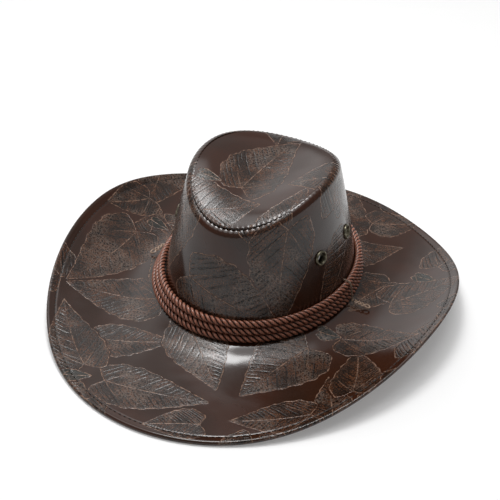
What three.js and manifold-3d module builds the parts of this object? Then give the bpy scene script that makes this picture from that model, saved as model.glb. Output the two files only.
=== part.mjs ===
// A western hat in embossed synthetic leather. Millimetres, +Z up.
// The hat stands on a table on the front and the back of its brim, the front towards -Y and the wearer's left
// towards +X. The origin is on the table, under the middle of the brim.
import * as THREE from "three";
import { mergeVertices } from "three/addons/utils/BufferGeometryUtils.js";
import Module from "manifold-3d";

const wasm = await Module();
wasm.setup();

// ---- Driving dimensions ------------------------------------------------------------------------------------
const STEPS = 36; // segments round every oval piece
const GAP = 0.3; // clearance between pieces that touch

// Crown. The foot oval is the outer face of the crown wall, for a 58 cm head.
const FOOT = { halfWidth: 85, halfLength: 107 };
const SEAM = { halfWidth: 62.5, halfLength: 79, forward: 4 }; // where the side panel meets the tip panel
const CROWN_HEIGHT = 113; // from the brim's level to the mean of the tip seam
const SEAM_BACK_RISE = 5; // the seam is higher at the back than at the front by twice this
const SEAM_SIDE_RISE = 10.5; // and higher at the sides than fore and aft by twice this
const WALL_BULGE = 1;
const WALL = 1.4;
const LINING = 0.6;
const LINING_GAP = 0.4;
const TIP = { shoulder: 4, shoulderShare: 0.33, dish: 7 };

// Brim, measured from the crown's centre to the edge.
const BRIM = { halfWidth: 179, front: 223, back: 191 };
const COVER = 0.8;
const CORE = 1.0;
const BEAD = 2.2; // radius of the rolled edge
const WIRE = 0.8; // radius of the wire in it
const HEM = 12; // the outermost part of the brim, which keeps its width all round
const STITCH_INSET = 7.5; // from the edge to the line of stitching
const DIP = 8.4; // the edge rests this much below the brim's level
const SIDE_ROLL = 34.4; // rise of the rolled-up sides above the resting edge
const REST_SHARE = 0.25; // the brim rests where |sin(angle)| is under this
const FLARE = { rise: 5, reach: 14 }; // how the brim turns up into the crown

// Hat band of three cords, with a tie on each side.
const CORD = 3.3;
const CORD_PITCH = 6.8;
const SLACK = { out: 4, angle: -1.2, spread: 0.6 }; // the lower cords sag away from the wall on the right
const THREAD = 0.4;
const TIE = 0.7;
// Each tie's place round the crown, and how far its tail turns from straight out, anticlockwise from above.
const TIES = [
  { name: "left", angle: 1.58, turn: 0.35 },
  { name: "right", angle: -1.47, turn: 1.05 },
];
const TAIL = { length: 15, halfWidth: 2.2, slope: 0.35 }; // hangs this many radians below level
const KEEPER_WIDTH = 14;

// Ventilation eyelets, two on each side.
const EYELET = { hole: 4.7, barrel: 5.4, flange: 7.1, height: 65, spread: 24, forward: 3 };
const WASHER = { inner: 5.8, outer: 7.5, thickness: 0.5 };

const SWEATBAND = { thickness: 1, height: 28, stitchHeight: 3 };

// ---- The frame ---------------------------------------------------------------------------------------------
const CENTRE_Y = (BRIM.front - BRIM.back) / 2; // the crown's centre, so that the brim is centred on the origin
const FOOT_TURN = THREE.MathUtils.degToRad(70); // the rolled edge is flat between this and its mirror image
const LEVEL = BEAD * Math.sin(FOOT_TURN) + DIP; // the brim's level at the crown
const BAND_FOOT = LEVEL + FLARE.rise + 1.7;
const RIM = LEVEL + FLARE.rise - 1.4; // the lower edge of the crown wall

const PU = { color: 0x2e1d18, roughness: 0.35, metalness: 0 };
const CLOTH = { color: 0x1c1614, roughness: 0.9, metalness: 0 };
const BRASS = { color: 0x8a7a55, roughness: 0.4, metalness: 1 };
const CORD_LOOK = { color: 0x5a2a1c, roughness: 0.6, metalness: 0 };
const STEEL = { color: 0x777777, roughness: 0.4, metalness: 1 };
const THREAD_LOOK = { color: 0x15100e, roughness: 0.8, metalness: 0 };

const hat = new THREE.Group();

function add(name, geometry, look) {
  const mesh = new THREE.Mesh(geometry, new THREE.MeshStandardMaterial(look));
  mesh.name = name;
  hat.add(mesh);
  return mesh;
}

// ---- Shapes ------------------------------------------------------------------------------------------------
// Angle 0 is the front, and a quarter turn is the wearer's left. An oval point is [x, y].
const oval = (angle, halfWidth, halfLength, forward = 0) => [
  halfWidth * Math.sin(angle),
  CENTRE_Y - forward - halfLength * Math.cos(angle),
];

// Turns a closed profile of [radius, height] pairs round Z, then moves each point with place(angle, radius,
// height). The profile runs anticlockwise, or from the axis to the axis.
function bent(profile, place, steps = STEPS) {
  const points = profile.map(([radius, height]) => new THREE.Vector2(radius, height));
  if (profile[0][0] > 0) points.push(points[0].clone());
  const shape = new THREE.LatheGeometry(points, steps);
  const position = shape.getAttribute("position");
  for (let i = 0; i < position.count; i++) {
    const [x, height, z] = [position.getX(i), position.getY(i), position.getZ(i)];
    position.setXYZ(i, ...place(Math.atan2(x, z), Math.hypot(x, z), height));
  }

  // The two sides of a shell run opposite ways, so one side's quads are split along their other diagonal. Then
  // layers that lie on each other have the same facets.
  const sides = points.length - 1;
  for (let quad = 0; quad < steps * sides; quad++) {
    const [from, to] = [points[quad % sides], points[(quad % sides) + 1]];
    if (to.x < from.x || (to.x === from.x && to.y < from.y)) {
      const [a, b, d, c] = shape.index.array.slice(quad * 6, quad * 6 + 4);
      shape.index.array.set([a, b, c, a, c, d], quad * 6);
    }
  }
  shape.computeVertexNormals();
  return shape;
}

// Height of the tip seam above the brim's level; share scales it down towards the middle of the tip.
const seamHeight = (angle, share = 1) =>
  CROWN_HEIGHT - SEAM_BACK_RISE * Math.cos(angle) * share - SEAM_SIDE_RISE * Math.cos(2 * angle) * share ** 2;

// The outer face of the side wall at a height above the level of the brim, made smaller by inset. It narrows from
// the foot oval to the seam oval.
function wallPoint(angle, height, inset) {
  const share = height / seamHeight(angle);
  const bulge = WALL_BULGE * 4 * share * (1 - share);
  return oval(
    angle,
    THREE.MathUtils.lerp(FOOT.halfWidth, SEAM.halfWidth, share) + bulge - inset,
    THREE.MathUtils.lerp(FOOT.halfLength, SEAM.halfLength, share) + bulge - inset,
    SEAM.forward * share,
  );
}

// The tip panel: a rounded shoulder inside the seam, and a shallow dish in the middle.
function tipHeight(angle, share) {
  const inward = THREE.MathUtils.clamp((1 - share) / TIP.shoulderShare, 0, 1);
  const shoulder = TIP.shoulder * Math.sqrt(1 - (1 - inward) ** 2);
  const across = Math.min(share / (1 - 0.6 * TIP.shoulderShare), 1);
  const dish = (TIP.dish / 2) * (1 + Math.cos(Math.PI * across));
  return LEVEL + seamHeight(angle, share) + shoulder - dish;
}

// How far the brim reaches from the crown at an angle, and the height of its middle layer.
function brimWidth(angle) {
  const reach = Math.cos(angle) > 0 ? BRIM.front : BRIM.back;
  return Math.hypot(
    (BRIM.halfWidth - FOOT.halfWidth) * Math.sin(angle),
    (reach - FOOT.halfLength) * Math.cos(angle),
  );
}

function brimHeight(angle, out) {
  const width = brimWidth(angle);
  const droop = Math.sin((Math.PI / 2) * Math.min(out / (width - HEM / 2), 1));
  const side = Math.max(Math.abs(Math.sin(angle)) - REST_SHARE, 0) / (1 - REST_SHARE);
  const roll = SIDE_ROLL * side ** 3 * (out / width) ** 2;
  return LEVEL - DIP * droop + roll + FLARE.rise * Math.exp(-((out / FLARE.reach) ** 2));
}

// A notional flat brim is FIELD + HEM wide. Its field stretches to the real width and its hem doesn't.
const FIELD = 100;
function brimPoint(angle, notional, height) {
  const width = brimWidth(angle);
  const out = notional < FIELD ? (notional / FIELD) * (width - HEM) : width - HEM + notional - FIELD;
  const reach = Math.cos(angle) > 0 ? BRIM.front : BRIM.back;
  const share = out / width;
  const [x, y] = oval(
    angle,
    THREE.MathUtils.lerp(FOOT.halfWidth, BRIM.halfWidth, share),
    THREE.MathUtils.lerp(FOOT.halfLength, reach, share),
  );
  return [x, y, brimHeight(angle, out) + height];
}

// ---- Solids with holes -------------------------------------------------------------------------------------
function solid(geometry) {
  const bare = geometry.clone();
  bare.deleteAttribute("normal");
  bare.deleteAttribute("uv");
  const merged = mergeVertices(bare, 1e-3);
  const vertProperties = merged.getAttribute("position").array;
  return new wasm.Manifold(new wasm.Mesh({ numProp: 3, vertProperties, triVerts: merged.index.array }));
}

function cut(geometry, tools) {
  const rest = tools.reduce((body, tool) => body.subtract(solid(tool)), solid(geometry)).getMesh();
  const made = new THREE.BufferGeometry();
  made.setAttribute("position", new THREE.BufferAttribute(rest.vertProperties, 3));
  made.setIndex(new THREE.BufferAttribute(rest.triVerts, 1));
  made.computeVertexNormals();
  return made;
}

// ---- Crown -------------------------------------------------------------------------------------------------
// A wall between two insets, from a height above the table up to the tip seam, less a drop below the seam.
const WALL_ROWS = 3;
const NOTIONAL = 100; // the wall's outer face in a profile, whose radii are only there to take insets from
function wallShell(outer, inner, bottom, drop) {
  const outside = [];
  const inside = [];
  for (let row = 0; row <= WALL_ROWS; row++) {
    outside.push([NOTIONAL - outer, row / WALL_ROWS]);
    inside.unshift([NOTIONAL - inner, row / WALL_ROWS]);
  }
  return bent([...outside, ...inside], (angle, radius, row) => {
    const top = LEVEL + seamHeight(angle) - drop;
    const z = THREE.MathUtils.lerp(bottom, top, row);
    return [...wallPoint(angle, z - LEVEL, NOTIONAL - radius), z];
  });
}

// A disc that follows the tip panel through some shares of its width, lowered by drop.
const TIP_STITCH = 0.95; // the share of the tip's width where it is stitched
const TIP_SHARES = [0.3, 0.6, 0.75, 0.87, TIP_STITCH];
const tipPoint = (angle, share) => [
  ...oval(angle, SEAM.halfWidth * share, SEAM.halfLength * share, SEAM.forward),
  tipHeight(angle, share),
];

function tipShell(shares, drop, thickness) {
  const under = shares.map((share) => [share, 0]);
  const over = shares.map((share) => [share, 1]).reverse();
  return bent([[0, 0], ...under, ...over, [0, 1]], (angle, share, side) => {
    const [x, y, z] = tipPoint(angle, share);
    return [x, y, z - drop - thickness * (1 - side)];
  });
}

// Where an eyelet sits: on the outer face of the side wall, its axis square to the wall.
function eyeletPlace(side, fore) {
  const share = EYELET.height / seamHeight(Math.PI / 2);
  const halfLength = THREE.MathUtils.lerp(FOOT.halfLength, SEAM.halfLength, share);
  const angle = side * Math.acos((fore * EYELET.spread + EYELET.forward) / halfLength);
  const at = (a, height) => new THREE.Vector3(...wallPoint(a, height, 0), LEVEL + height);
  const centre = at(angle, EYELET.height);
  const along = at(angle + 0.02, EYELET.height).sub(at(angle - 0.02, EYELET.height));
  const upward = at(angle, EYELET.height + 2).sub(at(angle, EYELET.height - 2));
  const outward = along.cross(upward).normalize();
  const turn = new THREE.Quaternion().setFromUnitVectors(new THREE.Vector3(0, 1, 0), outward);
  return new THREE.Matrix4().compose(centre, turn, new THREE.Vector3(1, 1, 1));
}

const EYELETS = [
  ["front_left", 1, 1],
  ["back_left", 1, -1],
  ["front_right", -1, 1],
  ["back_right", -1, -1],
].map(([name, side, fore]) => ({ name, place: eyeletPlace(side, fore) }));

const EYELET_STEPS = 12;
const lathed = (profile) =>
  new THREE.LatheGeometry([...profile, profile[0]].map((p) => new THREE.Vector2(...p)), EYELET_STEPS);

function eyeletDrills() {
  const drill = new THREE.CylinderGeometry(EYELET.barrel + GAP, EYELET.barrel + GAP, 16, EYELET_STEPS);
  return EYELETS.map(({ place }) => drill.clone().applyMatrix4(place));
}

function addCrown() {
  const behind = WALL + LINING_GAP; // inset of the lining's outer face
  const inside = behind + LINING;
  const side = wallShell(0, WALL, RIM, WALL + GAP);
  add("crown_side_panel", cut(side, eyeletDrills()), PU);
  add("crown_tip_panel", tipShell([...TIP_SHARES, 1], 0, WALL), PU);
  const lining = wallShell(behind, inside, RIM + 1, 4);
  add("crown_side_lining", cut(lining, eyeletDrills()), CLOTH);
  add("crown_tip_lining", tipShell(TIP_SHARES.slice(0, -1), WALL + LINING_GAP, LINING), CLOTH);

  // The washer lies behind the lining, and the end of the barrel is rolled over it.
  const back = inside + 0.8;
  const { hole, barrel, flange } = EYELET;
  const eyelet = lathed([
    [hole, -back - 1.6],
    [WASHER.inner + 0.6, -back - 1.6],
    [WASHER.inner + 0.6, -back - WASHER.thickness - GAP],
    [barrel, -back - WASHER.thickness - GAP],
    [barrel, 0.35],
    [flange, 0.35],
    [flange - 0.3, 1.3],
    [flange - 1.2, 1.8],
    [hole + 0.5, 1.5],
    [hole, 0.8],
  ]);
  const washer = lathed([
    [WASHER.inner, -back - WASHER.thickness],
    [WASHER.outer, -back - WASHER.thickness],
    [WASHER.outer, -back],
    [WASHER.inner, -back],
  ]);
  for (const { name, place } of EYELETS) {
    add(`eyelet_${name}`, eyelet.clone().applyMatrix4(place), BRASS);
    add(`eyelet_washer_${name}`, washer.clone().applyMatrix4(place), BRASS);
  }

  const outer = NOTIONAL - inside - 0.5; // the sweatband's outer face
  const inner = outer - SWEATBAND.thickness;
  const strip = [
    [inner, 0],
    [outer, 0],
    [outer, SWEATBAND.height],
    [inner, SWEATBAND.height],
  ];
  const onWall = (angle, radius, height) => {
    const z = RIM + 0.4 + height;
    return [...wallPoint(angle, z - LEVEL, NOTIONAL - radius), z];
  };
  add("sweatband", bent(strip, onWall), CLOTH);
  const stitch = square(inner - GAP - THREAD, SWEATBAND.stitchHeight, THREAD);
  add("sweatband_thread", bent(stitch, onWall), THREAD_LOOK);
}

// A square profile turned on its corner, for a thread, centred at a radius and height.
const square = (radius, height, half) => [
  [radius, height - half],
  [radius + half, height],
  [radius, height + half],
  [radius - half, height],
];

// ---- Seams of the crown ------------------------------------------------------------------------------------
function addCrownThreads() {
  const onTip = (angle, radius, height) => {
    const [x, y, z] = tipPoint(angle, TIP_STITCH);
    const out = radius - NOTIONAL;
    return [x + out * Math.sin(angle), y - out * Math.cos(angle), z + height];
  };
  add("tip_seam_thread", bent(square(NOTIONAL, 2 * THREAD + GAP, THREAD), onTip), THREAD_LOOK);

  // The side panel's two ends meet at the back, under an upright line of stitching.
  const from = BAND_FOOT + 3 * CORD_PITCH + 3;
  const to = LEVEL + seamHeight(Math.PI) - 3;
  const points = [0, 0.25, 0.5, 0.75, 1].map((share) =>
    besideWall(Math.PI, THREAD + GAP, THREE.MathUtils.lerp(from, to, share)),
  );
  add("back_seam_thread", tube(new THREE.CatmullRomCurve3(points), THREAD, 4, 4), THREAD_LOOK);
}

// A round bar along a curve.
function tube(curve, radius, sides, steps) {
  const section = new THREE.Shape(
    Array.from({ length: sides }, (_, i) => {
      const angle = (2 * Math.PI * i) / sides;
      return new THREE.Vector2(radius * Math.cos(angle), radius * Math.sin(angle));
    }),
  );
  return new THREE.ExtrudeGeometry(section, { steps, extrudePath: curve, bevelEnabled: false });
}

// ---- Brim --------------------------------------------------------------------------------------------------
const EDGE = FIELD + HEM - BEAD; // the wire's centre on the notional brim
const STITCH = FIELD + HEM - STITCH_INSET;
const FACE = CORE / 2 + GAP; // from the middle layer to a cover's inner face
const PINCH = 0.25; // and the same where the covers are stitched together
const ROWS = [6, 14, 30, 65];

// One cover from the crown to the equator of the rolled edge. Sign 1 is the top cover and -1 the under cover.
function coverProfile(sign) {
  const turns = [Math.PI - FOOT_TURN, FOOT_TURN, FOOT_TURN / 2, 0.07]; // up from the wire's equator
  const arc = (radius) =>
    turns.map((angle) => [EDGE + radius * Math.cos(angle), radius * Math.sin(angle)]);
  const field = (height) => [GAP, ...ROWS, FIELD].map((row) => [row, height]);
  const inner = [...field(FACE), [STITCH, PINCH], ...arc(BEAD - COVER)];
  const outer = [...field(FACE + COVER), [STITCH, PINCH + COVER], ...arc(BEAD)];
  const loop = [...inner, ...outer.reverse()];
  return sign > 0 ? loop : loop.map(([radius, height]) => [radius, -height]).reverse();
}

function addBrim() {
  add("brim_top_cover", bent(coverProfile(1), brimPoint), PU);
  add("brim_under_cover", bent(coverProfile(-1), brimPoint), PU);
  const rows = [1, ...ROWS, FIELD - 1];
  const core = [
    ...rows.map((row) => [row, -CORE / 2]),
    ...rows.map((row) => [row, CORE / 2]).reverse(),
  ];
  add("brim_core", bent(core, brimPoint), CLOTH);

  add("brim_edge_wire", bent(square(EDGE, 0, WIRE), brimPoint), STEEL);

  const above = PINCH + COVER + GAP + THREAD;
  add("brim_top_thread", bent(square(STITCH, above, THREAD), brimPoint), THREAD_LOOK);
  add("brim_under_thread", bent(square(STITCH, -above, THREAD), brimPoint), THREAD_LOOK);
}

// ---- Hat band ----------------------------------------------------------------------------------------------
const TOP_ROW = 2; // and row 0 is the lowest cord
const cordHeight = (row) => BAND_FOOT + CORD_PITCH * (row + 0.5);
const CORD_OUT = CORD + 0.5; // from the wall to a cord's centre, where it doesn't sag
const CORD_SIDES = 6;
const slack = (angle, row) => {
  const turns = (angle - SLACK.angle) / (2 * Math.PI);
  const away = 2 * Math.PI * (turns - Math.round(turns));
  return SLACK.out * (1 - row / TOP_ROW) * Math.exp(-((away / SLACK.spread) ** 2));
};

// A point beside the wall: an angle, the distance out from the wall and the height above the table.
function besideWall(angle, out, z) {
  return new THREE.Vector3(...wallPoint(angle, z - LEVEL, -out), z);
}

function addBand() {
  ["lower", "middle", "upper"].forEach((name, row) => {
    const section = Array.from({ length: CORD_SIDES }, (_, i) => {
      const angle = (2 * Math.PI * (i + 0.5)) / CORD_SIDES;
      return [NOTIONAL + CORD * Math.cos(angle), CORD * Math.sin(angle)];
    });
    const z = cordHeight(row);
    const place = (angle, radius, height) => [
      ...wallPoint(angle, z - LEVEL, NOTIONAL - radius - CORD_OUT - slack(angle, row)),
      z + height,
    ];
    add(`band_cord_${name}`, bent(section, place), CORD_LOOK);
  });

  // A leather keeper hides the cords' joins at the back: a C that wraps them from above and below.
  const top = cordHeight(TOP_ROW) + CORD + 0.8;
  const bottom = cordHeight(0) - CORD - 0.5;
  const outside = CORD_OUT + CORD + 1.2;
  const corner = (out, z) => {
    const point = besideWall(Math.PI, out, z);
    return new THREE.Vector2(point.y, point.z);
  };
  const keeper = new THREE.Shape([
    corner(CORD_OUT, bottom - 0.2),
    corner(outside, bottom),
    corner(outside, top),
    corner(CORD_OUT - 1, top + 0.8),
    corner(CORD_OUT - 1, top),
    corner(outside - 0.7, top - 0.8),
    corner(outside - 0.7, bottom + 0.6),
    corner(CORD_OUT, bottom + 0.6),
  ]);
  const block = new THREE.ExtrudeGeometry(keeper, { depth: KEEPER_WIDTH, bevelEnabled: false });
  // The outline was drawn in (y, z) and is extruded along x.
  block.applyMatrix4(new THREE.Matrix4().set(0, 0, 1, -KEEPER_WIDTH / 2, 1, 0, 0, 0, 0, 1, 0, 0, 0, 0, 0, 1));
  add("band_keeper", block, PU);
}

// A thin tie holds the cords on each side. Its tail ends in a loop, and lifts off the brim about its root.
function addTies() {
  for (const { name, angle, turn } of TIES) {
    const out = (row) => CORD_OUT + slack(angle, row) + CORD + TIE + 0.4;
    const over = new THREE.CatmullRomCurve3([
      besideWall(angle, TIE + 0.5, cordHeight(TOP_ROW) + CORD + 1.2),
      besideWall(angle, out(TOP_ROW) - 2, cordHeight(TOP_ROW) + CORD + 0.6),
      besideWall(angle, out(TOP_ROW), cordHeight(TOP_ROW)),
      besideWall(angle, out(1) + 0.2, cordHeight(1)),
      besideWall(angle, out(0) + 0.2, cordHeight(0) + 1),
      besideWall(angle, out(0) + 1, cordHeight(0) - 1.2),
    ]);
    add(`band_tie_${name}`, tube(over, TIE, 6, 14), CORD_LOOK);

    const root = besideWall(angle, out(0) + 1 + 2 * TIE + GAP, cordHeight(0) - 1.5);
    const heading = turn + (angle > 0 ? 0 : Math.PI);
    const level = new THREE.Vector3(Math.cos(heading), Math.sin(heading), 0);
    const tail = level.clone().multiplyScalar(Math.cos(TAIL.slope)).setZ(-Math.sin(TAIL.slope));
    const across = new THREE.Vector3(-level.y, level.x, 0).multiplyScalar(TAIL.halfWidth);
    const loop = [
      [0, -0.6],
      [0.4, -0.6],
      [0.75, -1],
      [0.96, -0.6],
      [1, 0],
      [0.96, 0.6],
      [0.75, 1],
      [0.4, 0.6],
      [0, 0.6],
    ].map(([share, sideways]) =>
      root.clone().addScaledVector(tail, share * TAIL.length).addScaledVector(across, sideways),
    );
    add(`tie_loop_${name}`, tube(new THREE.CatmullRomCurve3(loop), TIE, 6, 16), CORD_LOOK);
  }
}

addCrown();
addCrownThreads();
addBrim();
addBand();
addTies();

export default hat;
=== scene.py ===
"""A western hat in embossed synthetic leather, on a plain pale floor.

Lengths are in millimetres until a mesh is made. Angles go round the crown from the front to the wearer's left."""
import math

import bpy
import numpy as np
from mathutils import Matrix, Vector


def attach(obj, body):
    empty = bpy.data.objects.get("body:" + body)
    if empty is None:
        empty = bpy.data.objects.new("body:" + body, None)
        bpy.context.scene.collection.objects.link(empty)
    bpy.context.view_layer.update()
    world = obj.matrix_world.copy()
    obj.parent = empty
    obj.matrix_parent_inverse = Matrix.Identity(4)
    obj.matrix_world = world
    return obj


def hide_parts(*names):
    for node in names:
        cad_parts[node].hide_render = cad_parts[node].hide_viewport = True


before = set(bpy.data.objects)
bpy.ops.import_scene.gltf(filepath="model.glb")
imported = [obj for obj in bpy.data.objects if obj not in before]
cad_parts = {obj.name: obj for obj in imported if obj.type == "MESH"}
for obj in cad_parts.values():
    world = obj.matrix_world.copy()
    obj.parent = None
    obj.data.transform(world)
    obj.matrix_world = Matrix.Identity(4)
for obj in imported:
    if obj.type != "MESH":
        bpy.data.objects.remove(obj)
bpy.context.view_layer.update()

MM = 0.001
TURN = 2 * math.pi
RANDOM = np.random.default_rng(7)

# ---- The hat's shape, as in the CAD model ----
FOOT = (85.0, 107.0)  # half-width and half-length of the crown where it meets the brim
SEAM = (62.5, 79.0)  # and at the seam between the side and tip panels
SEAM_FORWARD = 4.0
CROWN_HEIGHT = 113.0  # from the brim's level to the mean of the tip seam
SEAM_BACK_RISE = 5.0
SEAM_SIDE_RISE = 10.5
WALL_BULGE = 1.0
WALL = 1.4
SHOULDER, SHOULDER_SHARE = 4.0, 0.33  # height and width of the tip's rounded shoulder
DISH, DISH_SHARE = 7.0, 0.802  # depth of the hollow in the tip, and its share of the tip's width
BRIM_HALF_WIDTH, BRIM_FRONT, BRIM_BACK = 179.0, 223.0, 191.0  # from the crown's centre
CENTRE_Y = (BRIM_FRONT - BRIM_BACK) / 2
COVER = 0.8
BEAD = 2.2  # radius of the rolled edge
HEM, FIELD = 12.0, 100.0  # the brim's outermost part, and a notional width for the rest
EDGE = FIELD + HEM - BEAD
STITCH = FIELD + HEM - 7.5
DIP = 8.4  # the edge rests this far below the brim's level
SIDE_ROLL = 34.4  # rise of the rolled-up sides
REST_SHARE = 0.25  # the brim rests where |sin(angle)| is under this
FLARE_RISE, FLARE_REACH = 5.0, 14.0  # how the brim turns up into the crown
LEVEL = BEAD * math.sin(math.radians(70)) + DIP  # of the brim; the rolled edge is flat below 70 degrees
BAND_FOOT = LEVEL + FLARE_RISE + 1.7
RIM = LEVEL + FLARE_RISE - 1.4  # the lower edge of the crown's wall
CORD, CORD_PITCH = 3.3, 6.8
CORD_OUT = CORD + 0.5
SLACK_OUT, SLACK_ANGLE, SLACK_SPREAD = 4.0, -1.2, 0.6  # the lower cords sag away from the wall on the right
TIE = 0.7
TIES = (("left", 1.58, 0.35), ("right", -1.47, 1.05 + math.pi))  # angle round the crown, and the tail's heading
TAIL_LENGTH, TAIL_HALF_WIDTH, TAIL_SLOPE = 15.0, 2.2, 0.35
EYELET_HEIGHT, EYELET_SPREAD, EYELET_FORWARD = 65.0, 24.0, 3.0
EYELETS = (("front_left", 1, 1), ("back_left", 1, -1), ("front_right", -1, 1), ("back_right", -1, -1))
BARREL, FLANGE = 5.4, 7.1  # an eyelet's outer radii through the wall and on its face
WASHER_INNER, WASHER_OUTER, WASHER_THICK = 5.8, 7.5, 0.5
FACE = 0.8  # from the brim's middle layer to a cover's inner face
LINING_FACE, LINING_BACK = 1.8, 2.4  # how far inside the wall's outer face the lining's two sides are
BAND_FACE, BAND_BACK, BAND_HEIGHT = 2.9, 3.9, 28.0  # the same for the sweatband


def points(x, y, z):
    return np.stack(np.broadcast_arrays(x, y, z), axis=-1)


def seam_rise(angle, share=1.0):
    """Height of the tip seam above the brim's level. Share scales it down towards the middle of the tip."""
    rise = SEAM_BACK_RISE * np.cos(angle) * share + SEAM_SIDE_RISE * np.cos(2 * angle) * share**2
    return CROWN_HEIGHT - rise


def wall(angle, z, out=0.0):
    """A point of the crown's side at an angle, a height and a distance out from its outer face."""
    share = (z - LEVEL) / seam_rise(angle)
    grow = WALL_BULGE * 4 * share * (1 - share) + out
    half_width = FOOT[0] + (SEAM[0] - FOOT[0]) * share + grow
    half_length = FOOT[1] + (SEAM[1] - FOOT[1]) * share + grow
    y = CENTRE_Y - SEAM_FORWARD * share - half_length * np.cos(angle)
    return points(half_width * np.sin(angle), y, z)


def tip(angle, share, height=0.0):
    """A point of the tip panel, at a share of its width from the middle."""
    inward = np.clip((1 - share) / SHOULDER_SHARE, 0, 1)
    shoulder = SHOULDER * np.sqrt(1 - (1 - inward) ** 2)
    across = np.minimum(share / DISH_SHARE, 1)
    dish = DISH / 2 * (1 + np.cos(math.pi * across))
    z = LEVEL + seam_rise(angle, share) + shoulder - dish + height
    x = SEAM[0] * share * np.sin(angle)
    return points(x, CENTRE_Y - SEAM_FORWARD - SEAM[1] * share * np.cos(angle), z)


def brim(angle, notional, height=0.0):
    """A point of the brim. A notional brim is FIELD + HEM wide, and its field stretches to the real width."""
    wide = BRIM_HALF_WIDTH - FOOT[0]
    long = np.where(np.cos(angle) > 0, BRIM_FRONT, BRIM_BACK) - FOOT[1]
    width = np.hypot(wide * np.sin(angle), long * np.cos(angle))
    out = np.where(notional < FIELD, notional / FIELD * (width - HEM), width - HEM + notional - FIELD)
    share = out / width
    droop = np.sin(math.pi / 2 * np.minimum(out / (width - HEM / 2), 1))
    side = np.maximum(np.abs(np.sin(angle)) - REST_SHARE, 0) / (1 - REST_SHARE)
    flare = np.exp(-((out / FLARE_REACH) ** 2))
    z = LEVEL - DIP * droop + SIDE_ROLL * side**3 * share**2 + FLARE_RISE * flare + height
    y = CENTRE_Y - (FOOT[1] + long * share) * np.cos(angle)
    return points((FOOT[0] + wide * share) * np.sin(angle), y, z)


def cord_height(row):
    """Height of a band cord's middle. Row 0 is the lowest cord."""
    return BAND_FOOT + CORD_PITCH * (row + 0.5)


def slack(angle, row):
    """How far a cord sags away from the wall."""
    turns = (angle - SLACK_ANGLE) / TURN
    away = TURN * (turns - np.round(turns))
    return SLACK_OUT * (1 - row / 2) * np.exp(-((away / SLACK_SPREAD) ** 2))


def even_angles(place, count):
    """count + 1 angles that are equally far apart along the loop place(angle), measured in fine steps."""
    angle = np.linspace(0, TURN, 3001)
    steps = np.linalg.norm(np.diff(place(angle), axis=0), axis=1)
    along = np.concatenate([[0], np.cumsum(steps)])
    return np.interp(np.linspace(0, along[-1], count + 1), along, angle)


# ---- Meshes ----
SHARP = 35  # edges that turn by more degrees than this are shaded as corners


def unit(vectors):
    return vectors / np.linalg.norm(vectors, axis=-1, keepdims=True)


def arc(middle, half, angles):
    """Points of an ellipse round a middle, from its half-width and half-height."""
    return [(middle[0] + half[0] * math.cos(t), middle[1] + half[1] * math.sin(t)) for t in angles]


def new_mesh(name, vertices, faces):
    """A mesh from points in millimetres."""
    mesh = bpy.data.meshes.new(name)
    mesh.from_pydata((np.asarray(vertices) * MM).tolist(), [], [list(face) for face in faces])
    return mesh


def placed(name, data):
    made = bpy.data.objects.new(name, data)
    bpy.context.scene.collection.objects.link(made)
    return made


def piece(name, shape, finish, node, body="hat", sharp=SHARP):
    """Makes an object that stands for a CAD node. A shape is vertices and faces, and a finish is a material and a
    slot name, of which only the material is used."""
    mesh = new_mesh(name, *shape)
    mesh.shade_smooth()
    mesh.set_sharp_from_angle(angle=math.radians(sharp))
    mesh.materials.append(finish[0])
    made = placed(name, mesh)
    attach(made, body)
    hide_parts(node)
    return made


def grid_faces(rows, columns, round_rows, round_columns):
    """Quads between neighbouring points of a grid. The last row or column may meet the first."""
    i = np.arange(rows if round_rows else rows - 1)[:, None]
    j = np.arange(columns if round_columns else columns - 1)[None, :]
    after, beside = (i + 1) % rows, (j + 1) % columns
    quads = [i * columns + j, after * columns + j, after * columns + beside, i * columns + beside]
    return np.stack(quads, -1).reshape(-1, 4).tolist()


def turned(profile, place, steps):
    """The shape of a profile of (radius, height) pairs turned round, each point moved by place(angle, radius,
    height). A profile that starts at radius 0 ends there too, and has poles."""
    profile = np.asarray(profile, float)
    angle = np.arange(steps) * TURN / steps
    grid = place(angle[:, None], profile[None, :, 0], profile[None, :, 1])
    if profile[0, 0] > 0:
        return grid.reshape(-1, 3), grid_faces(steps, len(profile), True, True)
    inner = len(profile) - 2
    vertices = np.array([*grid[:, 1:-1].reshape(-1, 3), grid[0, 0], grid[0, -1]])
    faces = grid_faces(steps, inner, True, False)
    low, high = steps * inner, steps * inner + 1
    for start in range(0, steps * inner, inner):
        following = (start + inner) % (steps * inner)
        faces.append([low, following, start])
        faces.append([high, start + inner - 1, following + inner - 1])
    return vertices, faces


def square_to(tangent, up):
    """Directions square to a line, the first of them square to up as well."""
    across = unit(np.cross(tangent, np.asarray(up, float)))
    return across, unit(np.cross(across, tangent))


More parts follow.
